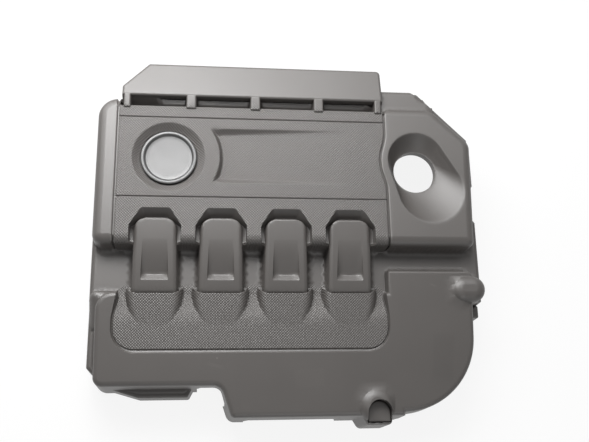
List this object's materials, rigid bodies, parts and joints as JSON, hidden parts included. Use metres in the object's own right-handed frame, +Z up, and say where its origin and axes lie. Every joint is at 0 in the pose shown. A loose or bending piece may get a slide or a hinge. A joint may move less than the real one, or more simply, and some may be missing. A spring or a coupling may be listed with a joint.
{
  "type": "engine cover",
  "caption": "Moulded acoustic cover that clips over the top of an in-line car engine, with an oil-filler opening, rubber ball-stud sockets and a blank round badge.",
  "frame": {"origin": "middle of the footprint at the level of the lowest rim", "axes": "+X to the right-hand side, +Y to the rear flap, +Z up through the main panel"},
  "size_m": [0.551, 0.5074, 0.1078],
  "materials": {
    "cover_plastic": "fine-grained matt dark grey",
    "badge_metal": "satin chrome-look plastic",
    "socket_rubber": "matt black"
  },
  "bodies": {
    "root": {"cover": "cover_plastic", "badge": "badge_metal", "grommet_rear_left": "socket_rubber", "grommet_rear_right": "socket_rubber", "grommet_right": "socket_rubber", "grommet_front": "socket_rubber"}
  },
  "joints": []
}
